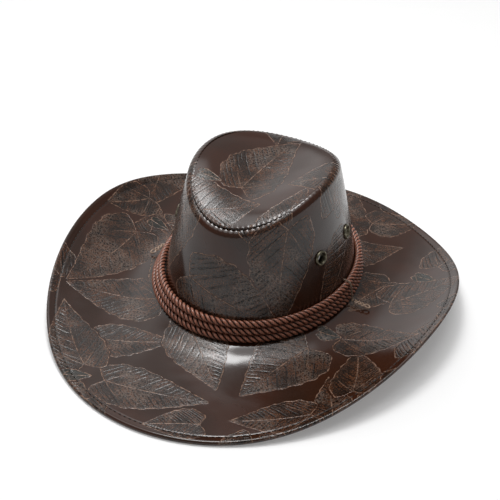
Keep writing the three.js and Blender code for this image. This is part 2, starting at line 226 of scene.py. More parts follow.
def tube(path, radius, sides, up, closed=False, core=None):
    """A round tube's vertices, quads, caps, and each face corner's (distance along, share of the way round,
    depth). Depth is 0, or how near the corner is to the core, a line that the tube winds round."""
    path = np.asarray(path, float)
    count = len(path)
    if closed:
        tangent = np.roll(path, -1, 0) - np.roll(path, 1, 0)
        steps = np.linalg.norm(np.roll(path, -1, 0) - path, axis=1)
    else:
        tangent = np.gradient(path, axis=0)
        steps = np.linalg.norm(np.diff(path, axis=0), axis=1)
    along = np.concatenate([[0], np.cumsum(steps)])
    across, over = square_to(tangent, up)
    turn = np.arange(sides) * TURN / sides
    radius = np.broadcast_to(radius, count)[:, None, None]
    ring = across[:, None] * np.cos(turn)[:, None] + over[:, None] * np.sin(turn)[:, None]
    vertices = (path[:, None] + radius * ring).reshape(-1, 3)
    depth = np.zeros((count, sides))
    if core is not None:
        from_core = np.linalg.norm(vertices.reshape(count, sides, 3) - np.asarray(core)[:, None], axis=2)
        near, far = np.linalg.norm(path - core, axis=1).mean(), from_core.max()
        depth = np.clip((far - from_core) / (far - near), 0, 1)
    quads = np.array(grid_faces(count, sides, closed, True))[:, [0, 3, 2, 1]]
    row, column = np.divmod(quads[:, :1], sides)
    further, beside = np.array([0, 0, 1, 1]), np.array([0, 1, 1, 0])
    corners = points(along[row + further], (column + beside) / sides, depth.ravel()[quads]).reshape(-1, 3)
    caps = [] if closed else [np.arange(sides)[::-1], (count - 1) * sides + np.arange(sides)]
    corners = np.concatenate([corners, np.zeros((len(caps) * sides, 3))])
    return vertices, quads, caps, corners


def joined(tubes):
    """Several tubes as one set of vertices, faces and corners."""
    vertices, faces, corners, base = [], [], [], 0
    for tube_vertices, quads, caps, tube_corners in tubes:
        vertices.append(tube_vertices)
        faces += (quads + base).tolist() + [(cap + base).tolist() for cap in caps]
        corners.append(tube_corners)
        base += len(tube_vertices)
    return np.concatenate(vertices), faces, np.concatenate(corners)


def corner_values(made, name, values):
    """Stores a vector at each face corner, for a material to read."""
    layer = made.data.attributes.new(name, "FLOAT_VECTOR", "CORNER")
    layer.data.foreach_set("vector", np.asarray(values, np.float32).ravel())


def tube_piece(name, tubes, finish, node, **links):
    vertices, faces, corners = joined(tubes)
    corner_values(piece(name, (vertices, faces), finish, node, **links), "along", corners)


# ---- Materials ----
class Nodes:
    """A short way to add shader nodes. Each call adds one node and returns its output."""

    def __init__(self, tree):
        self.tree = tree

    def add(self, kind, inputs=(), **settings):
        node = self.tree.nodes.new(kind)
        for key, value in settings.items():
            setattr(node, key, value)
        for key, value in dict(inputs).items():
            self.feed(node.inputs[key], value)
        return node

    def feed(self, socket, value):
        if isinstance(value, bpy.types.NodeSocket):
            self.tree.links.new(value, socket)
        else:
            socket.default_value = value

    def math(self, operation, a, b=0.0, c=0.0):
        return self.add("ShaderNodeMath", {0: a, 1: b, 2: c}, operation=operation).outputs[0]

    def times(self, a, b):
        return self.math("MULTIPLY", a, b)

    def plus(self, a, b):
        return self.math("ADD", a, b)

    def most(self, a, b):
        return self.math("MAXIMUM", a, b)

    def distance(self, a, b):
        return self.math("ABSOLUTE", self.math("SUBTRACT", a, b))

    def ease(self, value, start, end, low=0.0, high=1.0):
        inputs = {"Value": value, "From Min": start, "From Max": end, "To Min": low, "To Max": high}
        return self.add("ShaderNodeMapRange", inputs, interpolation_type="SMOOTHSTEP").outputs[0]

    def mix(self, factor, a, b):
        node = self.add("ShaderNodeMix", data_type="RGBA")
        self.feed(node.inputs[0], factor)
        self.feed(node.inputs[6], a)
        self.feed(node.inputs[7], b)
        return node.outputs[2]


class Look(Nodes):
    """A material, and the nodes of its surface."""

    def __init__(self, name):
        self.material = bpy.data.materials.new(name)
        self.material.use_nodes = True
        super().__init__(self.material.node_tree)
        self.shader = self.tree.nodes["Principled BSDF"]

    def set(self, **inputs):
        for key, value in inputs.items():
            self.feed(self.shader.inputs[key.replace("_", " ")], value)

    def place(self):
        """Where a point of the object is, in millimetres."""
        spot = self.add("ShaderNodeTexCoord").outputs["Object"]
        return self.add("ShaderNodeVectorMath", {0: spot, "Scale": 1 / MM}, operation="SCALE").outputs[0]

    def noise(self, vector, size, detail=2.0, roughness=0.5):
        inputs = {"Vector": vector, "Scale": 1 / size, "Detail": detail, "Roughness": roughness}
        return self.add("ShaderNodeTexNoise", inputs).outputs[0]

    def bent_place(self, vector):
        """The same place pushed about by up to 2 mm, so that cells don't have straight sides."""
        push = self.add("ShaderNodeTexNoise", {"Vector": vector, "Scale": 0.5, "Detail": 1.0}).outputs["Color"]
        inputs = {0: push, 1: (2.0, 2.0, 2.0), 2: vector}
        return self.add("ShaderNodeVectorMath", inputs, operation="MULTIPLY_ADD").outputs[0]

    def cells(self, vector, size, feature="DISTANCE_TO_EDGE"):
        inputs = {"Vector": vector, "Scale": 1 / size}
        return self.add("ShaderNodeTexVoronoi", inputs, feature=feature).outputs["Distance"]

    def corner(self, name):
        vector = self.add("ShaderNodeAttribute", attribute_name=name).outputs["Vector"]
        return self.add("ShaderNodeSeparateXYZ", {0: vector}).outputs

    def bump(self, height):
        """Feeds the shader a relief whose height is in millimetres."""
        self.set(Normal=self.add("ShaderNodeBump", {"Height": height, "Distance": MM, "Strength": 1.0}).outputs[0])


def rgb(red, green, blue):
    return (red, green, blue, 1.0)


SMOOTH_BROWN = rgb(0.0260, 0.0095, 0.0045)
RED_BROWN = rgb(0.0380, 0.0115, 0.0048)
BLADE_DARK = rgb(0.0055, 0.0026, 0.0014)
BLADE_BROWN = rgb(0.110, 0.0410, 0.0175)
# near-black for the side veins' grooves: painted shade in them
GROOVE_PAINTED_SHADE = rgb(0.0022, 0.0012, 0.0008)
SPOT_DARK = rgb(0.0050, 0.0068, 0.0042)
COPPER = rgb(0.270, 0.160, 0.108)
VEIN_PALE = rgb(0.230, 0.165, 0.130)
LEATHER_IOR = 1.5
GRAIN = 0.9  # size of the leather's grain


def embossed_leather():
    """Glossy brown synthetic leather with pressed leaves. A piece stores "leaf", which is the distance along and
    across the nearest leaf and out from its outline, and "vein", which is the count of side veins passed, the
    distance between them and 1 on a small dark leaf. Sizes and distances in its nodes are in millimetres."""
    look = Look("embossed_leather")
    times, plus, most, mix = look.times, look.plus, look.most, look.mix
    ease, noise, cells = look.ease, look.noise, look.cells
    spot = look.place()
    along, across, outside = look.corner("leaf")
    passed, spacing, dark_leaf = look.corner("vein")
    wander = times(look.math("SUBTRACT", noise(spot, 3.4, 3), 0.5), 2.0)
    edge = plus(outside, wander)
    inward = times(edge, -1.0)
    inside = ease(inward, -0.3, 0.4)
    from_rib = look.math("ABSOLUTE", plus(across, times(wander, 0.25)))

    # Side veins leave the midrib as grooves, and fork near the outline.
    bent = plus(passed, times(wander, 0.10))
    off_vein = times(look.distance(look.math("FRACT", bent), 0.5), spacing)
    forked = look.math("FRACT", look.math("MULTIPLY_ADD", bent, 2.0, 0.5))
    off_fork = times(look.distance(forked, 0.5), times(spacing, 0.5))
    near_outline = ease(inward, 12, 6)
    fork = times(ease(off_fork, 1.0, 0.2), near_outline)
    groove = times(most(ease(off_vein, 1.5, 0.3), fork), ease(inward, 0.8, 3.0))
    groove = times(groove, ease(from_rib, 0.8, 4.0, 0.35, 1.0))
    groove = times(groove, ease(noise(spot, 9, 1), 0.36, 0.56, 0.4, 1.0))

    # The blade between them is pebbled, with a broken net of raised lines.
    pebble = ease(cells(look.bent_place(spot), 1.9), 0.02, 0.13)
    fine = ease(noise(spot, 1.2, 3, 0.65), 0.36, 0.62)
    patchy = ease(noise(spot, 13, 1), 0.38, 0.6)
    net_line = ease(cells(look.bent_place(spot), 2.8), 0.15, 0.05)
    net = times(net_line, ease(noise(spot, 30, 2), 0.48, 0.62, 0.12, 1.0))
    speck = ease(noise(spot, 0.9, 1), 0.66, 0.74)

    # The midrib and a pair of basal veins are raised lines that fade towards the tip.
    rib = times(ease(from_rib, 0.55, 0.2), ease(along, 34, 66, 1.0, 0.18))
    basal_line = times(along, look.math("MULTIPLY_ADD", along, -0.012, 1.05))
    basal = times(ease(look.distance(from_rib, basal_line), 0.8, 0.3), ease(along, 24, 8, 0, 0.6))
    rib = times(most(rib, times(basal, ease(along, -0.5, 0.5))), inside)
    outline = ease(look.math("ABSOLUTE", edge), 0.52, 0.16)
    broken = ease(noise(spot, 2.8, 3, 0.6), 0.42, 0.58, 0.08, 1.0)

    ground = mix(ease(noise(spot, 60, 2), 0.4, 0.65), SMOOTH_BROWN, RED_BROWN)
    light = times(fine, plus(times(patchy, 0.75), 0.35))
    # The blade is darker in the narrow grooves between its pebbles: painted shade.
    blade = mix(times(light, ease(pebble, 0, 1, 0.15, 1)), BLADE_DARK, BLADE_BROWN)
    # The side veins' grooves are coloured near-black: painted shade in them.
    blade = mix(times(groove, 0.92), blade, GROOVE_PAINTED_SHADE)
    blade = mix(times(dark_leaf, 0.85), blade, SPOT_DARK)
    colour = mix(inside, ground, blade)
    faint = times(times(most(net, times(speck, 0.8)), inside), 0.36)
    lines = times(most(times(outline, 0.85), times(rib, 0.9)), broken)
    colour = mix(lines, mix(faint, colour, VEIN_PALE), COPPER)

    # Each part of the relief, and its height.
    height = times(times(groove, inside), -0.13)
    relief = (
        (most(outline, rib), 0.11),
        (times(fine, inside), 0.008),
        (times(pebble, inside), 0.022),
        (times(net, inside), 0.012),
        (times(inside, ease(inward, 0, 2.5)), 0.10),
        (cells(spot, GRAIN, "F1"), 0.009),
        (noise(spot, 26, 1), 0.5),
    )
    for part, rise in relief:
        height = look.math("MULTIPLY_ADD", part, rise, height)
    rough = look.math("MULTIPLY_ADD", inside, 0.04, 0.14)
    look.set(Base_Color=colour, Roughness=rough, IOR=LEATHER_IOR)
    look.bump(height)
    return look.material


def plain_leather():
    """The same leather without leaves, for narrow pieces."""
    look = Look("plain_leather")
    spot = look.place()
    look.set(Base_Color=look.mix(look.noise(spot, 12), SMOOTH_BROWN, BLADE_BROWN), Roughness=0.3)
    look.bump(look.times(look.cells(spot, GRAIN, "F1"), 0.05))
    return look.material


def weave(name, dark, light, pitch):
    """A plain weave: warp and weft threads that pass over each other in turn."""
    look = Look(name)
    spot = look.place()
    x, y, z = look.add("ShaderNodeSeparateXYZ", {0: spot}).outputs
    sideways = look.times(look.plus(x, y), TURN / pitch)
    upward = look.times(look.plus(z, look.times(x, 0.3)), TURN / pitch)
    over = look.times(look.math("SINE", sideways), look.math("SINE", upward))
    thread = look.ease(over, -0.8, 0.8)
    uneven = look.ease(look.noise(spot, 14, 3), 0.3, 0.7, 0.55, 1.0)
    # Darker where the threads dip under each other, with the same mask as the relief: painted shade in the weave's
    # hollows.
    look.set(Base_Color=look.mix(look.times(thread, uneven), dark, light), Roughness=0.85)
    look.set(Sheen_Weight=0.3, Sheen_Roughness=0.4)
    look.bump(look.times(thread, pitch * 0.25))
    return look.material


def yarn(name, dark, light, lay, roughness):
    """A strand of fine yarns. A piece stores "along": the distance along a strand, the share of the way round it
    and how deep the point lies between the strands."""
    look = Look(name)
    along, round_share, depth = look.corner("along")
    phase = look.plus(look.math("DIVIDE", along, lay), look.times(round_share, 4))
    ridge = look.ease(look.distance(look.math("FRACT", phase), 0.5), 0.5, 0.05)
    fuzz = look.noise(look.place(), 0.6, 3, 0.6)
    # Lighter on the yarns' ridges and darker in the furrows, as the relief rises and falls, and darkened towards
    # the core that the strands wind round: painted shade in the furrows and between the strands, which leaves only
    # the outer crests light as a painted highlight.
    shade = look.times(look.ease(ridge, 0, 1, 0.6, 1), look.ease(fuzz, 0.3, 0.6, 0.7, 1))
    shade = look.times(shade, look.ease(depth, 0.0, 0.55, 1, 0.02))
    look.set(Base_Color=look.mix(shade, dark, light), Roughness=roughness)
    look.set(Sheen_Weight=0.05, Sheen_Roughness=0.3)
    look.bump(look.plus(look.times(ridge, 0.012), look.times(fuzz, 0.008)))
    return look.material


def metal(name, bright, dull, roughness):
    look = Look(name)
    spot = look.place()
    worn = look.ease(look.noise(spot, 2.5, 4, 0.6), 0.35, 0.65)
    look.set(Base_Color=look.mix(worn, dull, bright), Metallic=1.0)
    look.set(Roughness=look.math("MULTIPLY_ADD", worn, -0.15, roughness + 0.15))
    look.bump(look.times(look.noise(spot, 0.5, 3), 0.012))
    return look.material


LEATHER = embossed_leather(), "embossed_leather"
STRAP = plain_leather(), "embossed_leather"
LINING = weave("lining_weave", rgb(0.018, 0.013, 0.009), rgb(0.060, 0.045, 0.030), 0.9), "lining"
RIBBON = weave("ribbon_weave", rgb(0.010, 0.007, 0.005), rgb(0.040, 0.026, 0.020), 0.6), "sweatband"
BUCKRAM = weave("buckram_weave", rgb(0.30, 0.27, 0.22), rgb(0.55, 0.50, 0.42), 1.6), "stiffener"
CORD_YARN = yarn("cord_yarn", rgb(0.008, 0.002, 0.001), rgb(0.400, 0.150, 0.090), 1.6, 0.2), "cord"
TIE_YARN = yarn("tie_yarn", rgb(0.02, 0.010, 0.007), rgb(0.50, 0.34, 0.24), 0.9, 0.32), "tie_thread"
STITCH_YARN = yarn("stitch_yarn", rgb(0.003, 0.002, 0.002), rgb(0.012, 0.009, 0.007), 0.6, 0.6), "sewing_thread"
BRASS = metal("antique_brass", rgb(0.235, 0.215, 0.155), rgb(0.10, 0.088, 0.060), 0.34), "brass"
WIRE = metal("drawn_wire", rgb(0.55, 0.55, 0.55), rgb(0.35, 0.35, 0.35), 0.3)

# ---- Leaves ----
# Each leaf is (base, tip, width), its points in millimetres on the flat leather. A spot is a small dark leaf.
BRIM_LEAVES = [
    ((-134, 13), (-144, -88), 62),
    ((-60, -68), (-143, -90), 58),
    ((-72, -164), (-132, -108), 50),
    ((-46, -172), (43, -152), 48),
    ((-16, -88), (41, -138), 54),
    ((84, -55), (60, -134), 62),
    ((103, -28), (165, -8), 46),
    ((120, 40), (168, 92), 52),
    ((50, 160), (92, 186), 50),
    ((122, -128), (66, -162), 40),
    ((48, -177), (8, -200), 34),
    ((-150, 62), (-172, 20), 40),
]
BRIM_SPOTS = [
    ((-133, 38), (-112, 36), 15),
    ((-80, -184), (-58, -172), 15),
    ((84, -34), (103, -26), 15),
    ((124, 90), (146, 84), 15),
]
SIDE_LEAVES = [
    ((-26, 50), (66, 14), 64),
    ((80, 102), (70, 12), 60),
    ((174, 58), (112, 12), 62),
    ((-68, 108), (-74, 26), 58),
    ((196, 112), (190, 60), 44),
]
SIDE_GAPS = [((-20, 100), (40, 100)), ((20, 84), (48, 56)), ((110, 100), (150, 60))]
TIP_LEAVES = [
    ((-8, -14), (4, 76), 56),
    ((-46, -64), (19, -30), 72),
    ((80, 34), (27, 4), 62),
    ((-20, 104), (-10, 56), 46),
    ((50, -78), (48, 0), 50),
]
TIP_SPOTS = [((-45, -22), (-24, -18), 13)]
LEAF_POINTS = 34  # down each side of an outline
LEAF_TEETH, TOOTH_SHARE = 7, 0.035
LOBE_SHARE = 0.17  # how far the lobes beside the stem reach back, of the length
BOW_SHARE = 0.05  # the most that a midrib bows, of the length
SIDE_VEINS = 7.5  # on each side of the midrib
VEIN_SLOPE, VEIN_CURVE = 0.75, 0.6
FAR = 30.0  # a point this far outside every leaf is plain leather
OVERLAP = 1.5  # a later leaf doesn't cover an earlier one, or come this near to it


def leaf_outline(length, width):
    """The outline of a leaf with a pointed tip and a cleft base, as points (along, across) round it."""
    share = np.linspace(0, 1, LEAF_POINTS) ** 1.3
    half = width / 2 * np.sin(math.pi * share**0.5)
    half *= 1 + TOOTH_SHARE * np.sin(share * TURN * LEAF_TEETH)
    lobe = LOBE_SHARE * length * np.clip(half / (0.3 * width), 0, 1) * np.exp(-share * 5)
    along = share * length - lobe
    return np.concatenate([np.stack([along, half], 1), np.stack([along, -half], 1)[-2:0:-1]])


def leaf_distance(at, outline):
    """How far points lie outside an outline, negative inside it."""
    nearest = np.full(len(at), np.inf)
    within = np.zeros(len(at), bool)
    level = 1e-9  # an edge that rises less than this counts as rising this much
    for start, end in zip(outline, np.roll(outline, -1, 0)):
        edge = end - start
        share = np.clip(((at - start) @ edge) / (edge @ edge), 0, 1)
        nearest = np.minimum(nearest, np.hypot(*(at - start - share[:, None] * edge).T))
        crosses = (start[1] > at[:, 1]) != (end[1] > at[:, 1])
        rise = edge[1] if abs(edge[1]) > level else level
        within ^= crosses & (at[:, 0] < start[0] + (at[:, 1] - start[1]) / rise * edge[0])
    return np.where(within, -nearest, nearest)


class Leaf:
    """A leaf on the flat leather, and how points look from it."""

    def __init__(self, base, end, width, is_spot, bow):
        run = np.subtract(end, base)
        self.base = np.asarray(base, float)
        self.length = np.hypot(*run)
        self.width = width
        self.turn = np.array([[run[0], -run[1]], [run[1], run[0]]]) / self.length
        self.outline = leaf_outline(self.length, width)
        self.is_spot = is_spot
        self.bow = bow * self.length  # how far the middle of the midrib is off the line from base to tip

    def local(self, flat_points):
        """Distances along and across the leaf's bowed midrib."""
        at = flat_points @ self.turn
        share = at[:, 0] / self.length
        at[:, 1] -= self.bow * 4 * share * (1 - share)
        return at

    def marks(self, at):
        """The "leaf" and "vein" values at points given along and across. Veins on the two sides alternate."""
        spacing = self.length / SIDE_VEINS
        across = np.abs(at[:, 1])
        start = at[:, 0] - VEIN_SLOPE * across - VEIN_CURVE * across**2 / self.width
        passed = start / spacing + 0.5 * (at[:, 1] < 0)
        rest = np.broadcast_to([spacing, float(self.is_spot)], (len(at), 2))
        return np.column_stack([at, leaf_distance(at, self.outline)]), np.column_stack([passed, rest])


def press_leaves(made, leaves, spots, flat):
    """Stores the leaves on a piece. flat(points, base) gives points' places on the flat leather from a base."""
    mesh = made.data
    at = np.empty(len(mesh.vertices) * 3)
    mesh.vertices.foreach_get("co", at)
    at = at.reshape(-1, 3) / MM
    corner_vertex = np.empty(len(mesh.loops), int)
    mesh.loops.foreach_get("vertex_index", corner_vertex)
    sizes = np.empty(len(mesh.polygons), int)
    mesh.polygons.foreach_get("loop_total", sizes)
    corner_face = np.repeat(np.arange(len(sizes)), sizes)
    middle = np.stack([np.bincount(corner_face, at[corner_vertex, k]) / sizes for k in range(3)], 1)

    shapes = [Leaf(*spot, True, 0.0) for spot in spots]
    shapes += [Leaf(*leaf, False, BOW_SHARE * math.sin(3 * number + 1)) for number, leaf in enumerate(leaves)]
    nearest = np.full(len(sizes), FAR)
    owner = np.full(len(sizes), -1)
    for number, shape in enumerate(shapes):
        local = shape.local(flat(middle, shape.base))
        from_middle = np.hypot(*(local - [shape.length / 2, 0]).T)
        close = np.flatnonzero(from_middle < shape.length * 0.75 + 12)
        distance = leaf_distance(local[close], shape.outline)
        wins = (nearest[close] >= OVERLAP) & (distance < nearest[close])
        nearest[close[wins]] = distance[wins]
        owner[close[wins]] = number

    leaf = np.tile([0.0, 0.0, FAR], (len(corner_face), 1))
    vein = np.tile([0.0, FAR, 0.0], (len(corner_face), 1))
    for number, shape in enumerate(shapes):
        mine = np.flatnonzero(owner[corner_face] == number)
        if len(mine):
            leaf[mine], vein[mine] = shape.marks(shape.local(flat(at[corner_vertex[mine]], shape.base)))
    corner_values(made, "leaf", leaf)
    corner_values(made, "vein", vein)


LEAF_LENGTHS, WIDTH_SHARES = (58, 92), (0.55, 0.7)  # of the leaves that are thrown at random


def scattered(leaves, gaps, low, high, tries, room):
    """More leaves, thrown at random with their bases between two corners, and kept where their middles are clear
    of those of the other leaves and of the gaps. Room is the least distance, as a share of the mean length."""
    made = list(leaves)
    for _ in range(tries):
        length = RANDOM.uniform(*LEAF_LENGTHS)
        base = RANDOM.uniform(low, high)
        heading = RANDOM.uniform(0, TURN)
        width = length * RANDOM.uniform(*WIDTH_SHARES)
        end = base + length * np.array([math.cos(heading), math.sin(heading)])
        middle = (base + end) / 2
        clear = [
            np.hypot(*(middle - np.add(b, e) / 2)) >= room * (length + np.hypot(*np.subtract(e, b))) / 2
            for b, e in [leaf[:2] for leaf in made] + gaps
        ]
        if all(clear):
            made.append((base, end, width))
    return made


def in_plan(at, base):
    return at[:, :2] - base


# The crown's side is flattened round its foot: a place is the distance round from the front, and the height.
ROUND_ANGLES = np.linspace(-math.pi, math.pi, 721)
ROUND_STEPS = np.linalg.norm(np.diff(wall(ROUND_ANGLES, LEVEL), axis=0), axis=1)
ROUND_LENGTH = np.concatenate([[0], np.cumsum(ROUND_STEPS)]) - ROUND_STEPS.sum() / 2
NARROWING = 0.27  # how much shorter the crown is round its top than round its foot


def round_the_crown(at, base):
    """Places on the flattened side. A few rounds settle a point's angle on the oval at its height."""
    angle = np.arctan2(at[:, 0], CENTRE_Y - at[:, 1])
    for _ in range(4):
        share = np.clip((at[:, 2] - LEVEL) / seam_rise(angle), 0, 1)
        half_width = FOOT[0] + (SEAM[0] - FOOT[0]) * share
        half_length = FOOT[1] + (SEAM[1] - FOOT[1]) * share
        forward = (CENTRE_Y - SEAM_FORWARD * share - at[:, 1]) / half_length
        angle = np.arctan2(at[:, 0] / half_width, forward)
    across = np.interp(angle, ROUND_ANGLES, ROUND_LENGTH) - base[0]
    whole = ROUND_STEPS.sum()
    across = (across + whole / 2) % whole - whole / 2
    return np.stack([across * (1 - NARROWING * share), at[:, 2] - LEVEL - base[1]], 1)


# ---- Stitches ----
STITCH_RADIUS = 0.42  # of the sewing thread in the brim and the tip's seam
BRIM_STITCHES = 236
SWEATBAND_STITCHES = 120


def stitch_row(place, marks, length_share, radius, up=(0, 0, 1), taper=0.25):
    """Stitches between neighbouring marks. place(mark, height) is a point of the seam, raised by height. A stitch
    rises out of the surface, dips back into it, and is thinner by taper at its ends."""
    u = np.linspace(0, 1, 6)
    arch = np.sin(math.pi * u)
    tubes = []
    for start, end in zip(marks[:-1], marks[1:]):
        path = place(start + (end - start) * length_share * u, radius * (1.5 * arch - 0.9))
        tubes.append(tube(path, radius * (1 - taper + taper * arch), 6, up))
    return tubes


# ---- Brim ----
BRIM_STEPS = 640
BRIM_CORNERS = (-175, -200), (175, 200)
BRIM_TRIES, BRIM_ROOM = 900, 0.66  # for the leaves that are thrown at random
CORE = 1.0  # thickness of the stiffener
PINCH_DEPTH = 0.28  # of the groove that the stitching pulls in
PINCH_HALF_WIDTH = 0.9
NOTIONAL = 100.0  # the wall's outer face in a profile, whose radii are only there to take insets from


def cover_profile(sign):
    """One cover of the brim, from the crown to the equator of the rolled edge. Sign 1 is the top cover."""
    field = np.linspace(0.3, FIELD - 2, 62)
    hem = np.linspace(FIELD - 1, EDGE - 1.2, 19)
    groove = PINCH_DEPTH * np.exp(-(((hem - STITCH) / PINCH_HALF_WIDTH) ** 2))
    swell = (BEAD - COVER - FACE) * np.clip((hem - STITCH) / (EDGE - STITCH), 0, 1) ** 2
    hem_face = FACE - groove + swell
    turn = np.radians([75, 60, 45, 30, 15, 3])
    outer = [(r, FACE + COVER) for r in field] + list(zip(hem, hem_face + COVER))
    outer += arc((EDGE, 0), (BEAD, BEAD), turn)
    inner = [(r, FACE) for r in field[::6]] + list(zip(hem[::3], hem_face[::3]))
    inner += arc((EDGE, 0), (BEAD - COVER, BEAD - COVER), turn[::2])
    loop = inner + outer[::-1]
    return loop if sign > 0 else [(r, -h) for r, h in loop][::-1]


def make_brim():
    leaves = scattered(BRIM_LEAVES, [], *BRIM_CORNERS, BRIM_TRIES, BRIM_ROOM)
    under_leaves = scattered([], [], *BRIM_CORNERS, BRIM_TRIES, BRIM_ROOM)
    for side, sign, chosen, spots in (("top", 1, leaves, BRIM_SPOTS), ("under", -1, under_leaves, [])):
        shape = turned(cover_profile(sign), brim, BRIM_STEPS)
        cover = piece(f"brim_{side}_cover_skin", shape, LEATHER, f"brim_{side}_cover")
        press_leaves(cover, chosen, spots, in_plan)

        def in_groove(angle, height):
            return brim(angle, STITCH, sign * (FACE + COVER - PINCH_DEPTH + height))

        around = even_angles(lambda angle: in_groove(angle, 0), BRIM_STITCHES)
        row = stitch_row(in_groove, around, 0.66, STITCH_RADIUS)
        tube_piece(f"brim_{side}_stitches", row, STITCH_YARN, f"brim_{side}_thread")

    rows = np.linspace(0.8, FIELD - 1, 24)
    core = turned([(r, -CORE / 2) for r in rows] + [(r, CORE / 2) for r in rows[::-1]], brim, BRIM_STEPS // 2)
    piece("brim_core_sheet", core, BUCKRAM, "brim_core")
    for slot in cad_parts["brim_edge_wire"].material_slots:
        slot.material = WIRE


# ---- Crown ----
CROWN_STEPS = 640
TIP_EDGE = 0.938  # the share of the seam oval where the tip panel's edge turns down
SEAM_STITCHES = 94
SEAM_ANGLES = even_angles(lambda angle: tip(angle, 1.0), SEAM_STITCHES)
SEAM_GAP = 0.004  # between the two panels, as a share of the seam oval
SEAM_SUNK = 0.45  # how deep the stitches lie in the seam
LIP = 1.9  # how far the side panel's top stands above the seam's height
CURL = 4.5  # height over which the top of the side panel curls in
CURL_TURN, CURL_INSET = 0.93, 0.74  # how far it goes round a quarter ellipse, and the inset there
PUCKER = 0.5
PUCKER_START, PUCKER_FULL = 0.90, 0.93  # shares of the tip panel where its puckers begin
BACK_GROOVE_DEPTH, BACK_GROOVE_ANGLE = 0.5, 0.012
CURLED_SHARE = 0.06  # the top part of the side panel, which has closer rows
SIDE_CORNERS = (-290, -10), (290, 110)
SIDE_TRIES, SIDE_ROOM = 400, 0.72


def pucker(angle):
    """How far the leather stands up between the seam's stitches, from 0 to 1."""
    count = np.interp(angle % TURN, SEAM_ANGLES, np.arange(SEAM_STITCHES + 1))
    middle = 0.31  # of a stitch, as a share of the way to the next
    return 0.5 - 0.5 * np.cos(TURN * (count - middle))


def side_point(angle, radius, row):
    """Row 0 to 1 goes up the wall. The top few millimetres curl in to the seam, in puckers, and a groove runs up
    the back where the panel's ends meet."""
    top = LEVEL + seam_rise(angle) + LIP
    z = RIM + (top - RIM) * row
    curl = np.clip(1 - (top - z) / CURL, 0, 1)
    seam_width = np.hypot(SEAM[0] * np.sin(angle), SEAM[1] * np.cos(angle))
    depth = (1 - TIP_EDGE - SEAM_GAP) * seam_width / CURL_INSET
    inset = NOTIONAL - radius + depth * (1 - np.sqrt(1 - CURL_TURN * curl**2))
    inset = inset + PUCKER * (1 - pucker(angle)) * curl
    groove = BACK_GROOVE_DEPTH * np.exp(-(((angle - math.pi) / BACK_GROOVE_ANGLE) ** 2))
    return wall(angle, z, -inset - groove)


def tip_point(angle, share, height):
    near_edge = np.clip((share - PUCKER_START) / (PUCKER_FULL - PUCKER_START), 0, 1)
    return tip(angle, share, height - PUCKER / 2 * (1 - pucker(angle)) * near_edge)


def in_seam(angle, height):
    return tip(angle, TIP_EDGE + 0.006, height - SEAM_SUNK)


def eyelet_axes(side, fore):
    """The middle of an eyelet on the wall's outer face, and the directions along, up and out of the wall."""
    z = LEVEL + EYELET_HEIGHT
    half_length = FOOT[1] + (SEAM[1] - FOOT[1]) * EYELET_HEIGHT / seam_rise(math.pi / 2)
    angle = side * math.acos((fore * EYELET_SPREAD + EYELET_FORWARD) / half_length)
    along = unit(wall(angle + 0.02, z) - wall(angle - 0.02, z))
    out = unit(np.cross(along, wall(angle, z + 2) - wall(angle, z - 2)))
    return wall(angle, z), along, np.cross(out, along), out


def on_eyelet(axes):
    middle, along, up, out = axes
    return lambda angle, radius, height: (
        middle
        + (radius * np.cos(angle))[..., None] * along
        + (radius * np.sin(angle))[..., None] * up
        + (height + 0 * angle)[..., None] * out
    )


def drilled(made, axes_list, radius=BARREL + 0.2, reach=9):
    """Cuts the eyelets' holes through a piece, with drills that reach as far on either side of the wall."""
    for axes in axes_list:
        bit = [(0, -reach), (radius, -reach), (radius, reach), (0, reach)]
        drill = placed("drill", new_mesh("drill", *turned(bit, on_eyelet(axes), 40)))
        cut = made.modifiers.new("hole", "BOOLEAN")
        cut.object, cut.operation, cut.solver = drill, "DIFFERENCE", "MANIFOLD"
        shape = made.evaluated_get(bpy.context.evaluated_depsgraph_get())
        finished = bpy.data.meshes.new_from_object(shape)
        made.modifiers.remove(cut)
        old, made.data = made.data, finished
        bpy.data.meshes.remove(old)
        bpy.data.meshes.remove(drill.data)  # which removes the drill too
    made.data.shade_smooth()
    made.data.set_sharp_from_angle(angle=math.radians(SHARP))


def make_crown():
    axes_list = [eyelet_axes(side, fore) for _, side, fore in EYELETS]
    straight = 1 - CURLED_SHARE
    curled = 1 - CURLED_SHARE * (1 - np.linspace(0.1, 1, 12)) ** 1.5
    outside = [(NOTIONAL, row) for row in (*np.linspace(0, straight, 60), *curled)]
    inside = [(NOTIONAL - WALL, row) for row in (*np.linspace(0, straight, 14), *curled[::4], 1)]
    shape = turned(outside + inside[::-1], side_point, CROWN_STEPS)
    side = piece("crown_side_skin", shape, LEATHER, "crown_side_panel")
    drilled(side, axes_list)
    leaves = scattered(SIDE_LEAVES, SIDE_GAPS, *SIDE_CORNERS, SIDE_TRIES, SIDE_ROOM)
    press_leaves(side, leaves, [], round_the_crown)

    shares = [*np.linspace(0.012, 0.88, 58), *np.linspace(0.885, TIP_EDGE, 14)]
    edge = [(TIP_EDGE + 0.003, -0.25), (TIP_EDGE + 0.005, -0.8), (TIP_EDGE + 0.003, -1.4)]
    under = [(share, -WALL) for share in shares[::6]]
    profile = [(0, -WALL), *under, *edge[::-1], *((share, 0) for share in shares[::-1]), (0, 0)]
    top = piece("crown_tip_skin", turned(profile, tip_point, CROWN_STEPS), LEATHER, "crown_tip_panel")
    press_leaves(top, TIP_LEAVES, TIP_SPOTS, in_plan)

    row = stitch_row(in_seam, SEAM_ANGLES, 0.62, STITCH_RADIUS)
    tube_piece("tip_seam_stitches", row, STITCH_YARN, "tip_seam_thread")
    make_back_seam()
    make_linings(axes_list)
    make_sweatband()
    make_eyelets(axes_list)


